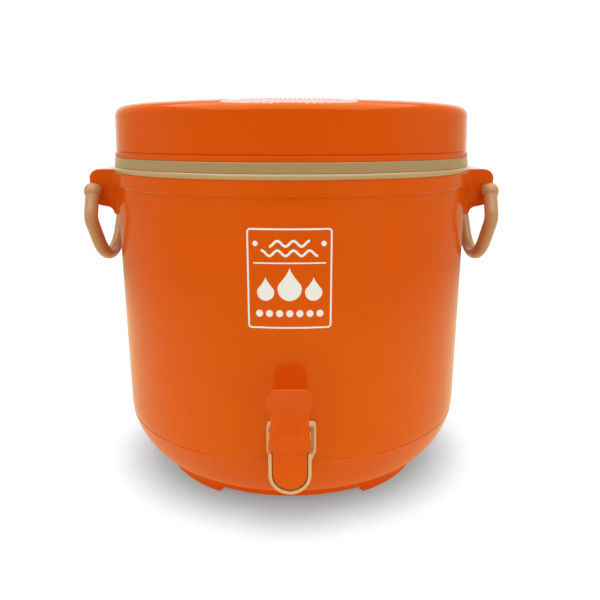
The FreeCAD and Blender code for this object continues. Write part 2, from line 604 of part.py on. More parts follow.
def tap_housing():
    """Tap body: back plate with a raised rim, U-shaped shroud, pin ears and the hollow shank."""
    half = HOUSING_W / 2.0
    low_cut = 3.3
    low_rise = 7.9
    top_r = 3.0
    bend = top_r * (1.0 - math.sqrt(0.5))

    def plate_outline(inset):
        w = half - inset
        top = HOUSING_TOP_Z - inset
        low = HOUSING_LOW_Z + inset
        return [
            (-w + low_cut, low),
            (w - low_cut, low),
            (w, low + low_rise),
            (w, top - top_r),
            (w - bend, top - bend, w - top_r, top),
            (-w + top_r, top),
            (-w + bend, top - bend, -w, top - top_r),
            (-w, low + low_rise),
        ]

    def plate(inset, y0, y1):
        edges = outline(plate_outline(inset), lambda x, z: V(x + HOUSING_SHIFT, y0, z))
        return face_from(edges).extrude(V(0, y1 - y0, 0))

    curved_back = Part.makeCylinder(WALL_TOP_R - 0.6, 200.0, V(0, 0, 0))
    body = plate(0.0, HOUSING_FRONT_Y, -140.0)
    body = body.makeFillet(RIM_EDGE_R, edges_at(body, HOUSING_FRONT_Y))
    body = body.cut(plate(1.8, HOUSING_FRONT_Y - 1.0, HOUSING_FRONT_Y + 1.6))
    body = body.cut(plate(3.4, HOUSING_FRONT_Y - 1.0, HOUSING_FRONT_Y + 2.9))

    outer = SHROUD_W / 2.0
    inner = outer - SHROUD_WALL
    bowl_z = SHROUD_LOW_Z + outer

    def u_solid(radius, y0, y1, top):
        edges = outline([
            (-radius, top),
            (-radius, bowl_z),
            (0.0, bowl_z - radius, radius, bowl_z),
            (radius, top),
        ], lambda x, z: V(x, y0, z))
        return face_from(edges).extrude(V(0, y1 - y0, 0))

    shroud = u_solid(outer, SHROUD_FRONT_Y, SHROUD_BACK_Y, SHROUD_LEG_Z)
    rim = [edge for edge in edges_at(shroud, SHROUD_FRONT_Y) if edge.BoundBox.ZMin < SHROUD_LEG_Z - 1.0]
    shroud = shroud.makeFillet(RIM_EDGE_R, rim)
    channel = u_solid(inner, SHROUD_FRONT_Y - 1.0, SHROUD_BACK_Y - 2.0, HOUSING_TOP_Z - 3.4)
    ears = rod_x(4.0, -outer + 0.3, outer - 0.3, PIN_Y, PIN_Z)
    neck = block(-outer + 0.3, outer - 0.3, PIN_Y - 2.2, HOUSING_FRONT_Y + 2.0, SHROUD_LEG_Z - 1.0, PIN_Z)
    brace = block(-outer + 0.3, outer - 0.3, PIN_Y, HOUSING_FRONT_Y + 2.0, PIN_Z - 1.0, PIN_Z + 4.0)
    body = body.fuse([shroud, ears, neck, brace])
    body = body.cut(channel)
    soften = rod_x(1.2, -outer - 1.0, outer + 1.0, SHROUD_FRONT_Y + 1.2, SHROUD_LEG_Z - 1.2)
    corner = block(-outer - 1.0, outer + 1.0, SHROUD_FRONT_Y - 0.1, SHROUD_FRONT_Y + 1.2,
                   SHROUD_LEG_Z - 1.2, SHROUD_LEG_Z + 0.1)
    body = body.cut(corner.cut(soften))
    outlet = block(-7.0, 7.0, SHROUD_FRONT_Y + 3.4, SHROUD_BACK_Y - 3.6, SHROUD_LOW_Z - 2.0, bowl_z - 4.0)
    body = body.cut(outlet)
    body = body.cut(curved_back)
    shank = rod_y(SHANK_R, HOUSING_FRONT_Y + 3.0, SHANK_END_Y, 0.0, TAP_Z)
    body = body.fuse(shank)
    washer_room = rod_y(WASHER_R + 0.4, PAD_Y - WASHER_T, PAD_Y + 10.0, 0.0, TAP_Z)
    washer_room = washer_room.cut(rod_y(SHANK_R, PAD_Y - 2.0, PAD_Y + 11.0, 0.0, TAP_Z))
    body = body.cut(washer_room)
    body = body.cut(rod_y(SEAT_BORE_R, SHROUD_FRONT_Y - 2.0, SEAT_Y, 0.0, TAP_Z))
    body = body.cut(rod_y(SHANK_BORE_R, SEAT_Y, SHANK_END_Y + 1.0, 0.0, TAP_Z))
    body = body.cut(rod_x(PIN_R, -outer - 1.0, outer + 1.0, PIN_Y, PIN_Z))
    return body.removeSplitter()


def lever_side():
    """Side profile of the lever, extruded across the whole width."""
    thick = 3.0
    points = [
        (-166.9, LEVER_LOW_Z - 1.0),
        (-167.4, 68.6),
        (-168.2, 70.2, -169.3, 71.6),
        (-169.6, 84.0),
        (-169.5, 99.3),
        (-172.6, 110.0, -177.4, LEVER_TOP_Z - 1.4),
        (-176.9, LEVER_TOP_Z - 0.1, -175.3, LEVER_TOP_Z - 0.5),
        (-170.2, 110.6, -166.6, 99.0),
        (-166.6 + 0.05, 84.0),
        (-169.3 + thick, 71.0),
        (-167.4 + thick - 0.3, 66.6),
        (-166.9 + thick - 0.3, LEVER_LOW_Z - 1.0),
    ]
    edges = outline(points, lambda y, z: V(-30.0, y, z))
    return face_from(edges).extrude(V(60.0, 0, 0))


def lever_front():
    """Front outline of the lever: flared paddle, waist, shoulders and round-ended tongue."""
    tongue = TONGUE_W / 2.0
    shoulder = SHOULDER_W / 2.0
    waist = WAIST_W / 2.0
    paddle = PADDLE_W / 2.0
    end_z = LEVER_LOW_Z + tongue
    right = [
        V(shoulder, 0, 75.5),
        V(shoulder - 0.45, 0, 81.0),
        V(waist, 0, 96.0),
        V(waist + 0.7, 0, 100.5),
        V(paddle - 0.35, 0, 107.5),
        V(paddle, 0, 110.8),
    ]
    y = -190.0
    side = Part.BSplineCurve()
    side.interpolate([V(p.x, y, p.z) for p in right])
    mirrored = Part.BSplineCurve()
    mirrored.interpolate([V(-p.x, y, p.z) for p in right])
    top_r = 9.0
    bend = top_r * (1.0 - math.sqrt(0.5))
    upper = outline([
        (paddle, 110.8),
        (paddle - 0.1, LEVER_TOP_Z - top_r),
        (paddle - bend - 0.1, LEVER_TOP_Z - bend, paddle - top_r, LEVER_TOP_Z),
        (-paddle + top_r, LEVER_TOP_Z),
        (-paddle + bend + 0.1, LEVER_TOP_Z - bend, -paddle + 0.1, LEVER_TOP_Z - top_r),
        (-paddle, 110.8),
    ], lambda x, z: V(x, y, z))[:-1]
    lower = outline([
        (-shoulder, 75.5),
        (-shoulder, 74.0),
        (-shoulder + 0.7, 71.2, -tongue, 70.4),
        (-tongue, end_z),
        (0.0, LEVER_LOW_Z, tongue, end_z),
        (tongue, 70.4),
        (shoulder - 0.7, 71.2, shoulder, 74.0),
        (shoulder, 75.5),
    ], lambda x, z: V(x, y, z))[:-1]
    edges = [side.toShape(), mirrored.toShape()] + upper + lower
    return face_from(edges).extrude(V(0, 60.0, 0))


def front_outline(solid, low):
    """Edges above a height where a front-facing surface meets the surfaces round the sides."""
    found = []
    for edge in solid.Edges:
        if edge.BoundBox.ZMin < low:
            continue
        middle = edge.valueAt((edge.FirstParameter + edge.LastParameter) / 2.0)
        lean = []
        for face in solid.ancestorsOfType(edge, Part.Face):
            u, v = face.Surface.parameter(middle)
            lean.append(face.normalAt(u, v).y)
        if min(lean) < -0.5 and abs(max(lean)) < 0.01:
            found.append(edge)
    return found


def tap_lever():
    """Pull lever with its hub around the pin."""
    plate = lever_side().common(lever_front())
    hub = rod_x(HUB_R, -TONGUE_W / 2.0, TONGUE_W / 2.0, PIN_Y, PIN_Z)
    web = block(-TONGUE_W / 2.0, TONGUE_W / 2.0, -167.2, PIN_Y, PIN_Z - 3.6, PIN_Z + HUB_R)
    lever = plate.fuse([hub, web]).removeSplitter().Solids[0]
    lever = lever.makeFillet(LEVER_EDGE_R, front_outline(lever, PADDLE_LOW_Z))
    return lever.cut(rod_x(PIN_R + PIN_CLEAR, -PADDLE_W, PADDLE_W, PIN_Y, PIN_Z))


def lever_pin():
    """Hinge pin through the ears and the lever's hub."""
    outer = SHROUD_W / 2.0 - 0.3
    return rod_x(PIN_R, -outer, outer, PIN_Y, PIN_Z)


def valve_plunger():
    """Push rod with guide fins and the plate that carries the seal."""
    front = -164.0
    rod = rod_y(1.8, front + 1.5, SEAT_Y + 6.0, 0.0, TAP_Z)
    button = rod_y(4.0, front + 0.6, front + 2.4, 0.0, TAP_Z)
    nose = rod_y(1.5, front, front + 1.0, 0.0, TAP_Z)
    fins = [
        block(-4.7, 4.7, -149.0, SEAT_Y - 1.0, TAP_Z - 0.6, TAP_Z + 0.6),
        block(-0.6, 0.6, -149.0, SEAT_Y - 1.0, TAP_Z - 4.7, TAP_Z + 4.7),
    ]
    plate = rod_y(6.9, SEAT_Y + 2.5, SEAT_Y + 3.7, 0.0, TAP_Z)
    spigot = rod_y(3.4, SEAT_Y + 3.7, SEAT_Y + 7.0, 0.0, TAP_Z)
    reach = rod_y(4.69, -149.0, SEAT_Y - 1.0, 0.0, TAP_Z)
    fins = [fin.common(reach) for fin in fins]
    return rod.fuse([button, nose, plate, spigot] + fins).removeSplitter()


def valve_seal():
    """Rubber disc that closes against the seat from the water side."""
    disc = rod_y(7.1, SEAT_Y + 0.05, SEAT_Y + 2.5, 0.0, TAP_Z)
    return disc.cut(rod_y(1.8, SEAT_Y - 1.0, SEAT_Y + 4.0, 0.0, TAP_Z))


def valve_spring():
    """Coil spring between the seal plate and the retainer."""
    turns = 7.0
    wire_r = 0.45
    coil_r = 5.4
    helix = Part.makeHelix(SPRING_LENGTH / turns, SPRING_LENGTH, coil_r)
    ring = Part.Wire(Part.Circle(V(coil_r, 0, 0), V(0, 1, 0.07), wire_r).toShape())
    coil = Part.Wire(helix).makePipeShell([ring], True, True)
    coil.rotate(V(0, 0, 0), V(1, 0, 0), -90.0)
    coil.translate(V(0, SEAT_Y + SPRING_START, TAP_Z))
    return coil


def spring_retainer():
    """Slotted ring at the inner end of the shank that the spring pushes against."""
    start = SEAT_Y + SPRING_START + SPRING_LENGTH + 0.5
    disc = rod_y(SHANK_BORE_R, start, start + 3.0, 0.0, TAP_Z)
    disc = disc.cut(rod_y(4.2, start - 1.0, start + 4.0, 0.0, TAP_Z))
    for step in range(4):
        slot = block(-1.2, 1.2, start - 1.0, start + 4.0, TAP_Z + 4.0, TAP_Z + 6.6)
        disc = disc.cut(slot.rotate(V(0, 0, TAP_Z), V(0, 1, 0), 45.0 + 90.0 * step))
    return disc


def tap_washer_outer():
    """Rubber washer between the tap and the shell."""
    ring = rod_y(WASHER_R, PAD_Y - WASHER_T, PAD_Y, 0.0, TAP_Z)
    return ring.cut(rod_y(SHANK_R, PAD_Y - 3.0, PAD_Y + 1.0, 0.0, TAP_Z))


def tap_washer_inner():
    """Rubber washer between the liner and the nut."""
    ring = rod_y(WASHER_R + 1.0, LINER_PAD_Y, LINER_PAD_Y + WASHER_T, 0.0, TAP_Z)
    return ring.cut(rod_y(SHANK_R, LINER_PAD_Y - 1.0, LINER_PAD_Y + 3.0, 0.0, TAP_Z))


def lock_nut():
    """Six-sided nut on the shank inside the tank."""
    start = LINER_PAD_Y + WASHER_T
    corners = []
    for step in range(7):
        angle = math.radians(60.0 * step)
        corners.append(V(NUT_R * math.cos(angle), start, TAP_Z + NUT_R * math.sin(angle)))
    nut = Part.Face(Part.makePolygon(corners)).extrude(V(0, NUT_H, 0))
    return nut.cut(rod_y(SHANK_R, start - 1.0, start + NUT_H + 1.0, 0.0, TAP_Z))


os.makedirs("parts", exist_ok=True)
write(outer_shell(), "outer_shell")
write(lug(-1.0), "left_lug")
write(lug(1.0), "right_lug")
write(base_cup(), "base_cup")
write(liner(), "liner")
write(body_insulation(), "body_insulation")
write(lid_cap(), "lid_cap")
write(lid_liner(), "lid_liner")
write(lid_gasket(), "lid_gasket")
write(lid_insulation(), "lid_insulation")
write(handle(-1.0), "left_handle")
write(handle(1.0), "right_handle")
write(tap_housing(), "tap_housing")
write(tap_lever(), "tap_lever")
write(lever_pin(), "lever_pin")
write(valve_plunger(), "valve_plunger")
write(valve_seal(), "valve_seal")
write(valve_spring(), "valve_spring")
write(spring_retainer(), "spring_retainer")
write(tap_washer_outer(), "tap_washer_outer")
write(tap_washer_inner(), "tap_washer_inner")
write(lock_nut(), "lock_nut")
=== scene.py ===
import math

import bmesh
import bpy
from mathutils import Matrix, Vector
from mathutils.bvhtree import BVHTree


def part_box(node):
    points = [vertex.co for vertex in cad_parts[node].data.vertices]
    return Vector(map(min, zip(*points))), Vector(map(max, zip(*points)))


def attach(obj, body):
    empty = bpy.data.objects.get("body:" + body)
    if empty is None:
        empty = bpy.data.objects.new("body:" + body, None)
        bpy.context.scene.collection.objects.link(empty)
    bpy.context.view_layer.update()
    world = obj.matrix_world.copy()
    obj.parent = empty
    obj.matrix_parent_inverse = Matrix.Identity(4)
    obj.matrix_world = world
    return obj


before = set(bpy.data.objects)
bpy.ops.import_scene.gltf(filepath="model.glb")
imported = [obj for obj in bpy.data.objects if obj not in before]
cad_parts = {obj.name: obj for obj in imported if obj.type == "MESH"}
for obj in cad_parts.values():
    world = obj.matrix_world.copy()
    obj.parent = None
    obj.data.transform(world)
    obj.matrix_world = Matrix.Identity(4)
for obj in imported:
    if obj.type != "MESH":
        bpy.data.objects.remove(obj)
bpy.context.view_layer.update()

# Insulated drink jug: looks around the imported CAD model. Metres, +Z up, the tap faces -Y.
MM = 0.001

# ---- places read from the frame -------------------------------------------------------
wall_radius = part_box("outer_shell")[1].x
jug_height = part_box("lid_cap")[1].z
lever_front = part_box("tap_lever")[0].y

# ---- print, dots and ribs, in millimetres ---------------------------------------------
LABEL_W = 60.1          # frame of the print
LABEL_H = 71.2
LABEL_CENTRE_Z = 192.0
LABEL_LINE = 1.25
LABEL_CORNER = 2.2
INK = 0.10              # thickness of the print
INK_LIFT = 0.02         # gap that keeps the print off the wall

WAVES = ((25.0, 14.2), (18.4, 20.0))    # height over the print's centre and half length
WAVE_SWING = 1.9
WAVE_PERIOD = 11.2
WAVE_LINE = 1.7
SPOT_ACROSS = 24.0      # spots beside the upper wave
SPOT_R = 1.9
RULE_UP = 11.4
RULE_HALF_W = 25.6
RULE_LINE = 1.0
DROP_LOW = -15.4        # bottom of the three drops
MIDDLE_DROP_TOP = 8.2
SIDE_DROP_TOP = 1.6
SIDE_DROP_ACROSS = 17.0
BEAD_COUNT = 7          # round beads along the bottom
BEAD_PITCH = 7.2
BEAD_UP = -24.6
BEAD_R = 2.55

DOT_PITCH = 7.1         # dots on the lid's grip panel
DOT_EDGE_PITCH = 4.75   # the closer row along each end of the panel
DOT_ROW_STEP = 14.2     # between rows of the field
DOT_R = 1.0
DOT_H = 0.35
DOT_COLUMNS = 11
DOT_ROWS = 5
DOT_FIELD_Y = 104.0     # outermost row of the field
DOT_EDGE_Y = 140.5      # the closer row

RIB_COUNT = 3           # ribs on the lever, where the thumb presses
RIB_HALF_W = 8.5
RIB_STEP = 3.6
RIB_LOW_Z = 84.0
RIB_HALF_H = 0.8
RIB_RISE = 0.50
RIB_SUNK = 0.05         # depth of a rib's edge in the lever
RIB_STEPS = 14

# ---- camera, floor and room -----------------------------------------------------------
EYE = (0.0072, -0.600, 0.290)
EYE_PITCH = 75.95       # degrees up from looking straight down
LENS = 39.87
SENSOR = 36.0
FLOOR_HALF = 30.0       # floor's half side in jug heights
PAINTED_SHADOW_REACH = 0.052     # how near the floor the jug has to be for the floor's painted shadow
WHITE = (1.0, 1.0, 1.0)
WARM = (1.0, 0.90, 0.50)
BACKDROP_GLOW = 1.05


# ---- node helpers ---------------------------------------------------------------------


class Shader:
    """A material's node tree with short calls for the nodes used here."""

    def __init__(self, name):
        self.material = bpy.data.materials.new(name)
        self.material.use_nodes = True
        self.tree = self.material.node_tree
        self.tree.nodes.clear()
        self.out = self.add("ShaderNodeOutputMaterial")
        self.bsdf = self.add("ShaderNodeBsdfPrincipled")
        self.link(self.bsdf.outputs[0], self.out.inputs["Surface"])
        self.point = self.add("ShaderNodeTexCoord").outputs["Object"]

    def add(self, kind, **settings):
        node = self.tree.nodes.new(kind)
        for key, value in settings.items():
            setattr(node, key, value)
        return node

    def link(self, source, target):
        self.tree.links.new(source, target)

    def stretched(self, scale):
        node = self.add("ShaderNodeMapping")
        node.inputs["Scale"].default_value = scale
        self.link(self.point, node.inputs["Vector"])
        return node.outputs[0]

    def noise(self, scale, detail=3.0, rough=0.55, stretch=None):
        node = self.add("ShaderNodeTexNoise")
        node.inputs["Scale"].default_value = scale
        node.inputs["Detail"].default_value = detail
        node.inputs["Roughness"].default_value = rough
        self.link(self.stretched(stretch) if stretch else self.point, node.inputs["Vector"])
        return node.outputs["Fac"]

    def ramp(self, source, stops):
        node = self.add("ShaderNodeValToRGB")
        ramp = node.color_ramp
        while len(ramp.elements) < len(stops):
            ramp.elements.new(0.5)
        for element, (place, value) in zip(ramp.elements, stops):
            element.position = place
            element.color = (*value, 1.0)
        self.link(source, node.inputs["Fac"])
        return node.outputs["Color"]

    def grey_ramp(self, source, low, high, start=0.3, end=0.7):
        return self.ramp(source, [(start, (low,) * 3), (end, (high,) * 3)])

    def mix(self, factor, a, b):
        node = self.add("ShaderNodeMix", data_type="RGBA")
        colour_a, colour_b = node.inputs[6], node.inputs[7]
        for socket, value in ((colour_a, a), (colour_b, b)):
            if isinstance(value, tuple):
                socket.default_value = (*value, 1.0)
            else:
                self.link(value, socket)
        if isinstance(factor, float):
            node.inputs[0].default_value = factor
        else:
            self.link(factor, node.inputs[0])
        return node.outputs[2]

    def bump(self, height, strength, distance, under=None):
        node = self.add("ShaderNodeBump")
        node.inputs["Strength"].default_value = strength
        node.inputs["Distance"].default_value = distance
        self.link(height, node.inputs["Height"])
        if under is not None:
            self.link(under, node.inputs["Normal"])
        return node.outputs[0]

    def set(self, **values):
        names = {"ior": "IOR", "coat": "Coat Weight", "coat_rough": "Coat Roughness",
                 "specular": "Specular IOR Level", "metallic": "Metallic", "tint": "Specular Tint",
                 "transmission": "Transmission Weight"}
        for key, value in values.items():
            self.bsdf.inputs[names[key]].default_value = value
        return self

    def finish(self, colour, rough, normal):
        self.link(colour, self.bsdf.inputs["Base Color"])
        self.link(rough, self.bsdf.inputs["Roughness"])
        self.link(normal, self.bsdf.inputs["Normal"])
        return self.material


# ---- materials ------------------------------------------------------------------------


def moulded(name, deep, light, rough_low, rough_high, coat, peel=0.05, **extra):
    """Injection-moulded plastic: slow colour drift, faint flow streaks, rubbed patches and orange peel."""
    s = Shader(name)
    drift = s.grey_ramp(s.noise(9.0, 2.0), 0.0, 1.0)
    streak = s.grey_ramp(s.noise(40.0, 4.0, 0.6, (1.0, 1.0, 0.12)), 0.0, 1.0, 0.4, 0.75)
    base = s.mix(drift, deep, light)
    tone = s.mix(0.06, base, s.mix(streak, deep, light))
    dust = s.grey_ramp(s.noise(700.0, 2.0, 0.7), 0.0, 0.015, 0.66, 0.80)
    colour = s.mix(dust, tone, tuple(min(1.0, 0.5 + 0.5 * c) for c in light))
    rubbed = s.noise(26.0, 5.0, 0.65)
    rough = s.grey_ramp(rubbed, rough_low, rough_high, 0.35, 0.75)
    wave = s.bump(s.noise(55.0, 1.5, 0.4), peel, 0.0006)
    grain = s.bump(s.noise(1500.0, 2.0, 0.5), peel * 0.5, 0.00006, wave)
    s.set(coat=coat, coat_rough=0.04, ior=1.5, **extra)
    s.link(wave, s.bsdf.inputs["Coat Normal"])
    return s.finish(colour, rough, grain)


def orange_plastic():
    return moulded("orange_plastic", (0.740, 0.088, 0.0018), (0.780, 0.098, 0.0024), 0.13, 0.21, 0.0,
                   peel=0.03, tint=(1.0, 0.90, 0.24, 1.0))


def lever_orange():
    return moulded("lever_orange", (0.76, 0.082, 0.003), (0.80, 0.094, 0.004), 0.28, 0.40, 0.0,
                   peel=0.05, tint=(1.0, 0.9, 0.20, 1.0))


def beige_plastic():
    return moulded("beige_plastic", (0.42, 0.285, 0.130), (0.44, 0.300, 0.140), 0.22, 0.27, 0.0)


def tap_beige():
    return moulded("tap_beige", (0.72, 0.48, 0.24), (0.78, 0.53, 0.28), 0.26, 0.36, 0.10)


def handle_beige():
    return moulded("handle_beige", (0.50, 0.27, 0.12), (0.58, 0.33, 0.155), 0.32, 0.46, 0.12, peel=0.08)


def liner_plastic():
    return moulded("liner_plastic", (0.52, 0.34, 0.16), (0.60, 0.40, 0.20), 0.18, 0.30, 0.25)


def foam():
    """Rigid foam: pale, matt, full of small cells, each with painted shade in its sunken middle."""
    s = Shader("foam")
    cell = s.add("ShaderNodeTexVoronoi")
    cell.inputs["Scale"].default_value = 420.0
    s.link(s.point, cell.inputs["Vector"])
    tone = s.mix(s.grey_ramp(s.noise(30.0), 0.0, 1.0), (0.72, 0.63, 0.42), (0.82, 0.74, 0.54))
    # painted shade: each cell is darker in its middle, where the bump sinks it
    colour = s.mix(s.grey_ramp(cell.outputs["Distance"], 0.25, 0.0, 0.0, 0.5), tone, (0.55, 0.46, 0.28))
    normal = s.bump(cell.outputs["Distance"], 0.35, 0.0008)
    return s.finish(colour, s.grey_ramp(cell.outputs["Distance"], 0.9, 0.75, 0.0, 0.6), normal)


def silicone():
    """Milky silicone with a soft sheen and lint."""
    s = Shader("silicone")
    cloud = s.grey_ramp(s.noise(60.0, 3.0), 0.0, 1.0)
    colour = s.mix(cloud, (0.66, 0.66, 0.62), (0.78, 0.78, 0.75))
    lint = s.bump(s.noise(900.0, 3.0, 0.7), 0.15, 0.0001)
    s.set(transmission=0.12, ior=1.41)
    return s.finish(colour, s.grey_ramp(s.noise(220.0), 0.42, 0.6), lint)


def rubber():
    """Black rubber with a grey bloom and a fine mould grain."""
    s = Shader("rubber")
    bloom = s.grey_ramp(s.noise(90.0, 5.0, 0.7), 0.0, 0.6, 0.45, 0.85)
    colour = s.mix(bloom, (0.018, 0.018, 0.019), (0.06, 0.058, 0.055))
    grain = s.bump(s.noise(1800.0, 2.0), 0.3, 0.00008)
    return s.finish(colour, s.grey_ramp(s.noise(120.0), 0.62, 0.85), grain)


def white_plastic():
    return moulded("white_plastic", (0.74, 0.72, 0.66), (0.82, 0.80, 0.75), 0.32, 0.48, 0.05)


def white_ink():
    """Screen-printed ink: white, slightly uneven, with pinholes where the mesh lets less ink through."""
    s = Shader("white_ink")
    uneven = s.grey_ramp(s.noise(160.0, 4.0, 0.6), 0.0, 1.0)
    tone = s.mix(uneven, (0.93, 0.94, 0.99), (0.98, 0.98, 1.0))
    thin = s.grey_ramp(s.noise(2600.0, 1.0), 0.0, 0.15, 0.70, 0.80)
    colour = s.mix(thin, tone, (0.78, 0.36, 0.16))
    ridge = s.bump(s.noise(1300.0, 2.0), 0.2, 0.00005)
    s.set(coat=0.15, coat_rough=0.15)
    return s.finish(colour, s.grey_ramp(uneven, 0.34, 0.5, 0.0, 1.0), ridge)


def steel():
    """Drawn stainless steel wire: streaks along it and small dull spots."""
    s = Shader("steel")
    streak = s.noise(500.0, 4.0, 0.6, (1.0, 0.08, 1.0))
    colour = s.mix(s.grey_ramp(streak, 0.0, 1.0), (0.50, 0.50, 0.50), (0.68, 0.67, 0.66))
    s.set(metallic=1.0)
    return s.finish(colour, s.grey_ramp(s.noise(300.0), 0.22, 0.42), s.bump(streak, 0.2, 0.00005))


def dress(material, *names):
    """Give CAD nodes a material without touching their shape."""
    for name in names:
        mesh_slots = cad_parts[name].data.materials
        mesh_slots.clear()
        mesh_slots.append(material)


def dress_all():
    orange = orange_plastic()
    washer = rubber()
    natural = white_plastic()
    metal = steel()
    cell_foam = foam()
    grips = handle_beige()
    dress(orange, "outer_shell", "left_lug", "right_lug", "base_cup", "lid_cap")
    dress(lever_orange(), "tap_lever")
    dress(beige_plastic(), "lid_liner")
    dress(liner_plastic(), "liner")
    dress(tap_beige(), "tap_housing")
    dress(grips, "left_handle", "right_handle")
    dress(cell_foam, "body_insulation", "lid_insulation")
    dress(silicone(), "lid_gasket")
    dress(washer, "valve_seal", "tap_washer_outer", "tap_washer_inner")
    dress(natural, "valve_plunger", "spring_retainer", "lock_nut")
    dress(metal, "lever_pin", "valve_spring")
    return orange


# ---- surface pieces -------------------------------------------------------------------


def surface_of(node):
    return BVHTree.FromObject(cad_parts[node], bpy.context.evaluated_depsgraph_get())


def on_wall(tree, u, z):
    """The point and outward normal of the wall at arc length u from the front and height z, in metres."""
    angle = u / wall_radius
    out = Vector((math.sin(angle), -math.cos(angle), 0.0))
    start = out * (2.0 * wall_radius) + Vector((0.0, 0.0, z))
    place, _, _, _ = tree.ray_cast(start, -out)
    return place, out


class Print:
    """Flat shapes given as rows of (across, up) millimetre points, wrapped on the wall as thin ink."""

    def __init__(self, tree):
        self.tree = tree
        self.mesh = bmesh.new()

    def rows(self, rows, closed=False):
        layers = []
        for lift in (INK_LIFT, INK_LIFT + INK):
            layer = []
            for row in rows:
                points = []
                for u, v in row:
                    place, out = on_wall(self.tree, u * MM, (LABEL_CENTRE_Z + v) * MM)
                    points.append(self.mesh.verts.new(place + out * lift * MM))
                layer.append(points)
            layers.append(layer)
        low, high = layers
        count = len(rows)
        width = len(rows[0])
        steps = range(count if closed else count - 1)
        for i in steps:
            j = (i + 1) % count
            for k in range(width - 1):
                self.face(high[i][k], high[i][k + 1], high[j][k + 1], high[j][k])
                self.face(low[j][k], low[j][k + 1], low[i][k + 1], low[i][k])
            self.face(low[i][0], high[i][0], high[j][0], low[j][0])
            self.face(high[i][-1], low[i][-1], low[j][-1], high[j][-1])
        if not closed:
            for end, flip in ((0, False), (count - 1, True)):
                for k in range(width - 1):
                    corners = [low[end][k], low[end][k + 1], high[end][k + 1], high[end][k]]
                    self.face(*(reversed(corners) if flip else corners))

    def face(self, *corners):
        unique = list(dict.fromkeys(corners))
        if len(unique) > 2:
            self.mesh.faces.new(unique)

    def ribbon(self, line, width, closed=False):
        """A band of even width along a line of points."""
        rows = []
        count = len(line)
        for i, (u, v) in enumerate(line):
            before = line[(i - 1) % count] if closed or i > 0 else line[i]
            after = line[(i + 1) % count] if closed or i < count - 1 else line[i]
            du = after[0] - before[0]
            dv = after[1] - before[1]
            size = math.hypot(du, dv)
            nu = -dv / size * width / 2.0
            nv = du / size * width / 2.0
            rows.append([(u + nu, v + nv), (u, v), (u - nu, v - nv)])
        self.rows(rows, closed)

    def filled(self, centre, top, bottom, half_width, steps=20, across=8):
        """A shape symmetric about a vertical line, filled row by row."""
        rows = []
        for i in range(steps + 1):
            share = 0.5 - 0.5 * math.cos(math.pi * i / steps)
            v = top + (bottom - top) * share
            half = max(half_width(share), 0.02)
            rows.append([(centre + half * (2.0 * k / across - 1.0), v) for k in range(across + 1)])
        self.rows(rows)

    def disc(self, u, v, radius):
        self.filled(u, v + radius, v - radius, lambda s: radius * math.sin(math.acos(1.0 - 2.0 * s)), 12, 6)

    def drop(self, u, top, bottom):
        """A falling drop: a round bottom that runs up into a point."""
        height = top - bottom
        radius = height * 0.36
        neck = 1.0 - radius * 1.35 / height

        def half(share):
            if share > neck:
                reach = (share - neck) / (1.0 - neck) * 1.35 - 0.35
                return radius * math.sqrt(max(0.0, 1.0 - reach * reach))
            swell = share / neck
            return radius * math.sqrt(1.0 - 0.35 ** 2) * swell ** 1.35
        self.filled(u, top, bottom, half, 30, 8)

    def piece(self, name, material):
        bmesh.ops.remove_doubles(self.mesh, verts=self.mesh.verts, dist=1e-7)
        bmesh.ops.recalc_face_normals(self.mesh, faces=self.mesh.faces)
        return piece_from(self.mesh, name, material)


def piece_from(mesh, name, material, smooth=False):
    data = bpy.data.meshes.new(name)
    mesh.to_mesh(data)
    mesh.free()
    for polygon in data.polygons:
        polygon.use_smooth = smooth
    data.materials.append(material)
    item = bpy.data.objects.new(name, data)
    bpy.context.scene.collection.objects.link(item)
    return item


def rounded_frame(half_w, half_h, corner, step=2.0):
    """Points once round a rectangle with round corners."""
    points = []
    centres = [(half_w - corner, half_h - corner), (corner - half_w, half_h - corner),
               (corner - half_w, corner - half_h), (half_w - corner, corner - half_h)]
    for turn, (cu, cv) in enumerate(centres):
        for k in range(7):
            angle = math.radians(90.0 * turn + 15.0 * k)
            points.append((cu + corner * math.cos(angle), cv + corner * math.sin(angle)))
        here = points[-1]
        nxt = centres[(turn + 1) % 4]
        angle = math.radians(90.0 * (turn + 1))
        there = (nxt[0] + corner * math.cos(angle), nxt[1] + corner * math.sin(angle))
        length = math.hypot(there[0] - here[0], there[1] - here[1])
        parts = int(length / step)
        for k in range(1, parts):
            points.append((here[0] + (there[0] - here[0]) * k / parts,
                           here[1] + (there[1] - here[1]) * k / parts))
    return points


def label_print():
    """A framed water motif: two waves with spots, a rule, three drops and a row of beads."""
    ink = Print(surface_of("outer_shell"))
    edge = LABEL_LINE / 2.0
    ink.ribbon(rounded_frame(LABEL_W / 2.0 - edge, LABEL_H / 2.0 - edge, LABEL_CORNER), LABEL_LINE, True)
    for height, reach in WAVES:
        wave = []
        for k in range(81):
            u = -reach + 2.0 * reach * k / 80.0
            wave.append((u, height + WAVE_SWING * math.sin(2.0 * math.pi * u / WAVE_PERIOD)))
        ink.ribbon(wave, WAVE_LINE)
    for side in (-1.0, 1.0):
        ink.disc(side * SPOT_ACROSS, WAVES[0][0], SPOT_R)
    rule = [(-RULE_HALF_W + 2.0 * RULE_HALF_W * k / 26.0, RULE_UP) for k in range(27)]
    ink.ribbon(rule, RULE_LINE)
    ink.drop(0.0, MIDDLE_DROP_TOP, DROP_LOW)
    for side in (-1.0, 1.0):
        ink.drop(side * SIDE_DROP_ACROSS, SIDE_DROP_TOP, DROP_LOW)
    for k in range(BEAD_COUNT):
        ink.disc((k - (BEAD_COUNT - 1) / 2.0) * BEAD_PITCH, BEAD_UP, BEAD_R)
    label = ink.piece("label_print", white_ink())
    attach(label, "jug")


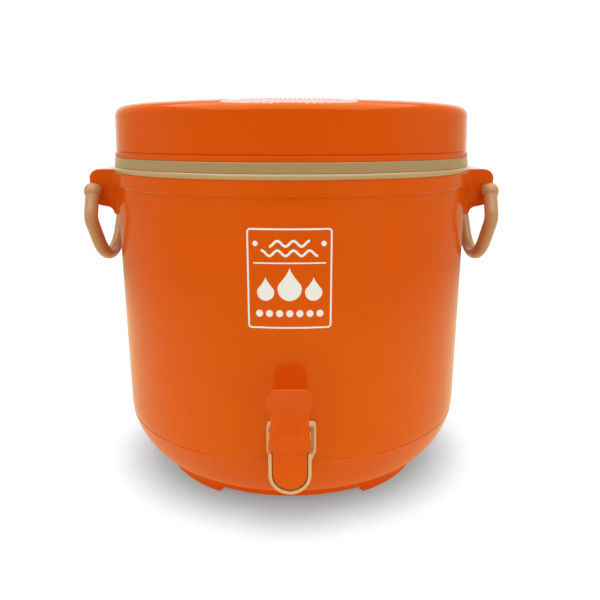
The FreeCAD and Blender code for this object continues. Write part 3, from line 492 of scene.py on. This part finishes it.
def dome(mesh, centre, normal, radius, height, around=12, rings=3):
    """A low round bump on a surface, closed underneath."""
    side = normal.orthogonal().normalized()
    across = normal.cross(side)
    bulge = (radius ** 2 + height ** 2) / (2.0 * height)
    last = []
    for ring in range(rings + 1):
        reach = radius * (1.0 - ring / (rings + 1.0))
        lift = math.sqrt(bulge ** 2 - reach ** 2) - (bulge - height)
        if ring == 0:
            lift = -0.0002
        row = []
        for k in range(around):
            angle = 2.0 * math.pi * k / around
            offset = side * math.cos(angle) * reach + across * math.sin(angle) * reach
            row.append(mesh.verts.new(centre + offset + normal * lift))
        if last:
            for k in range(around):
                mesh.faces.new((last[k], last[(k + 1) % around], row[(k + 1) % around], row[k]))
        else:
            mesh.faces.new(list(reversed(row)))
        last = row
    tip = mesh.verts.new(centre + normal * height)
    for k in range(around):
        mesh.faces.new((last[k], last[(k + 1) % around], tip))


def grip_dots(material):
    """Raised dots on the lid's sunken panel: a staggered field and a closer row at both ends."""
    tree = surface_of("lid_cap")
    mesh = bmesh.new()
    places = []
    for end in (-1.0, 1.0):
        for row in range(DOT_ROWS):
            count = DOT_COLUMNS - row % 2
            for k in range(count):
                x = (k - (count - 1) / 2.0) * DOT_PITCH
                places.append((x, end * (DOT_FIELD_Y - row * DOT_ROW_STEP)))
        for k in range(DOT_COLUMNS):
            x = (k - (DOT_COLUMNS - 1) / 2.0) * DOT_EDGE_PITCH
            places.append((x, end * DOT_EDGE_Y))
    for x, y in places:
        start = Vector((x * MM, y * MM, jug_height + 0.05))
        place, normal, _, _ = tree.ray_cast(start, Vector((0.0, 0.0, -1.0)))
        dome(mesh, place, normal, DOT_R * MM, DOT_H * MM)
    dots = piece_from(mesh, "grip_dots", material, True)
    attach(dots, "lid")


def lever_ribs(material):
    """Three low ribs across the lever where it is pressed."""
    tree = surface_of("tap_lever")
    mesh = bmesh.new()
    half = RIB_HALF_W * MM
    for k in range(RIB_COUNT):
        z = (RIB_LOW_Z + k * RIB_STEP) * MM
        start = Vector((0.0, lever_front - 0.05, z))
        place, normal, _, _ = tree.ray_cast(start, Vector((0.0, 1.0, 0.0)))
        rows = []
        for i in range(RIB_STEPS + 1):
            x = -half + 2.0 * half * i / RIB_STEPS
            taper = math.sqrt(max(0.0, 1.0 - (2.0 * i / RIB_STEPS - 1.0) ** 6))
            row = []
            for j in range(9):
                angle = math.pi * j / 8.0
                up = math.cos(angle) * RIB_HALF_H * MM
                out = math.sin(angle) * RIB_RISE * MM * taper
                corner = place + Vector((x, 0.0, up)) + normal * (out - RIB_SUNK * MM)
                row.append(mesh.verts.new(corner))
            rows.append(row)
        for i in range(RIB_STEPS):
            for j in range(8):
                mesh.faces.new((rows[i][j], rows[i][j + 1], rows[i + 1][j + 1], rows[i + 1][j]))
    bmesh.ops.recalc_face_normals(mesh, faces=mesh.faces)
    ribs = piece_from(mesh, "lever_ribs", material, True)
    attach(ribs, "lever")


# ---- stage, lights and camera ---------------------------------------------------------


def studio_floor():
    """A large pale floor that glows: it looks white to the camera, with a painted shadow that darkens it
    close to the jug, and it lights the jug in a warm tone as painted bounce light, orange close to the jug.
    """
    mesh = bmesh.new()
    half = FLOOR_HALF * jug_height
    corners = [mesh.verts.new((x * half, y * half, 0.0)) for x, y in ((-1, -1), (1, -1), (1, 1), (-1, 1))]
    mesh.faces.new(corners)
    s = Shader("studio_floor")
    # painted shadow: the glow the camera sees is darkened by occlusion near the jug
    shade = s.add("ShaderNodeAmbientOcclusion", samples=16)
    shade.inputs["Distance"].default_value = PAINTED_SHADOW_REACH
    seen = s.ramp(shade.outputs["AO"], [(0.0, (0.22,) * 3), (0.30, (0.40,) * 3), (0.55, (0.68,) * 3),
                                        (0.75, (0.90,) * 3), (0.90, (1.0,) * 3)])
    # painted bounce light: for all rays but the camera's, the floor glows warm, fading with distance from
    # the jug
    from_axis = s.add("ShaderNodeVectorMath", operation="LENGTH")
    s.link(s.point, from_axis.inputs[0])
    painted_bounce_far = s.ramp(from_axis.outputs["Value"], [(0.30, (0.90, 0.80, 0.48)), (0.55, (0.90, 0.80, 0.48)),
                                              (0.80, (0.62, 0.55, 0.33)), (1.0, (0.38, 0.34, 0.20))])
    # painted bounce light: orange glow close to the jug, seen in the jug's reflections and lighting its
    # underside
    painted_bounce_near = s.grey_ramp(shade.outputs["AO"], 1.0, 0.0, 0.25, 0.90)
    painted_bounce = s.mix(painted_bounce_near, painted_bounce_far, (0.80, 0.30, 0.07))
    # painted shadow for the camera, painted bounce light for everything else
    painted_shadow_and_bounce = s.mix(s.add("ShaderNodeLightPath").outputs["Is Camera Ray"], painted_bounce, seen)
    s.set(specular=0.0)
    s.link(painted_shadow_and_bounce, s.bsdf.inputs["Emission Color"])
    s.bsdf.inputs["Emission Strength"].default_value = 1.0
    tone = s.grey_ramp(s.noise(3.0), 0.03, 0.04)
    material = s.finish(tone, s.grey_ramp(s.noise(40.0), 0.85, 0.95), s.bump(s.noise(300.0), 0.05, 0.0002))
    floor = piece_from(mesh, "studio_floor", material)


def softbox(name, place, aim, width, height, power, mirrored=True):
    """An area light; one that is not mirrored lights the jug without showing as a reflection."""
    data = bpy.data.lights.new(name, "AREA")
    data.shape = "RECTANGLE"
    data.size = width
    data.size_y = height
    data.energy = power
    light = bpy.data.objects.new(name, data)
    light.location = place
    light.rotation_euler = (Vector(aim) - Vector(place)).to_track_quat("-Z", "Y").to_euler()
    light.visible_glossy = mirrored
    light.visible_camera = False
    bpy.context.scene.collection.objects.link(light)


def studio_world():
    """A room that lights the jug more from behind than from the front, with a plain white backdrop."""
    world = bpy.data.worlds.new("studio")
    world.use_nodes = True
    tree = world.node_tree
    tree.nodes.clear()
    out = tree.nodes.new("ShaderNodeOutputWorld")
    coords = tree.nodes.new("ShaderNodeTexCoord")
    parts = tree.nodes.new("ShaderNodeSeparateXYZ")
    ramp = tree.nodes.new("ShaderNodeValToRGB")
    stops = ((0.05, 0.15, WHITE), (0.50, 0.24, WHITE), (0.72, 0.30, WARM), (0.90, 0.62, WARM),
             (1.0, 1.25, WHITE))
    while len(ramp.color_ramp.elements) < len(stops):
        ramp.color_ramp.elements.new(0.5)
    for element, (place, level, tint) in zip(ramp.color_ramp.elements, stops):
        element.position = place
        element.color = (*(level * part for part in tint), 1.0)
    depth = tree.nodes.new("ShaderNodeMath")
    depth.operation = "MULTIPLY_ADD"
    depth.inputs[1].default_value = 0.5
    depth.inputs[2].default_value = 0.5
    room = tree.nodes.new("ShaderNodeBackground")
    seen = tree.nodes.new("ShaderNodeBackground")
    seen.inputs["Color"].default_value = (*WHITE, 1.0)
    seen.inputs["Strength"].default_value = BACKDROP_GLOW
    path = tree.nodes.new("ShaderNodeLightPath")
    choose = tree.nodes.new("ShaderNodeMixShader")
    tree.links.new(coords.outputs["Generated"], parts.inputs[0])
    tree.links.new(parts.outputs["Y"], depth.inputs[0])
    tree.links.new(depth.outputs[0], ramp.inputs["Fac"])
    tree.links.new(ramp.outputs["Color"], room.inputs["Color"])
    tree.links.new(path.outputs["Is Camera Ray"], choose.inputs["Fac"])
    tree.links.new(room.outputs[0], choose.inputs[1])
    tree.links.new(seen.outputs[0], choose.inputs[2])
    tree.links.new(choose.outputs[0], out.inputs["Surface"])
    bpy.context.scene.world = world


def studio_lights():
    """Dim lights at both sides for the walls, and a large one overhead that the lid mirrors."""
    middle = (0.0, 0.0, 0.5 * jug_height)
    low = (0.0, 0.0, 0.2 * jug_height)
    softbox("left_softbox", (-0.62, -0.72, 0.14), low, 0.5, 0.24, 0.8, False)
    softbox("right_softbox", (0.62, -0.72, 0.14), low, 0.5, 0.24, 0.8, False)
    softbox("left_wall_light", (-1.5, -0.05, 0.40), low, 1.2, 0.8, 3.0, False)
    softbox("right_wall_light", (1.5, -0.05, 0.40), low, 1.2, 0.8, 3.0, False)
    softbox("top_softbox", (0.0, -0.30, 1.6), middle, 3.0, 2.6, 45.0)


def camera():
    data = bpy.data.cameras.new("camera")
    data.sensor_width = SENSOR
    data.lens = LENS
    eye = bpy.data.objects.new("camera", data)
    eye.location = EYE
    eye.rotation_euler = (math.radians(EYE_PITCH), 0.0, 0.0)
    bpy.context.scene.collection.objects.link(eye)
    bpy.context.scene.camera = eye


# ---- build ----------------------------------------------------------------------------
orange = dress_all()
label_print()
grip_dots(orange)
lever_ribs(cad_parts["tap_lever"].data.materials[0])
studio_floor()
studio_world()
studio_lights()
camera()
bpy.context.scene.view_settings.view_transform = "Standard"
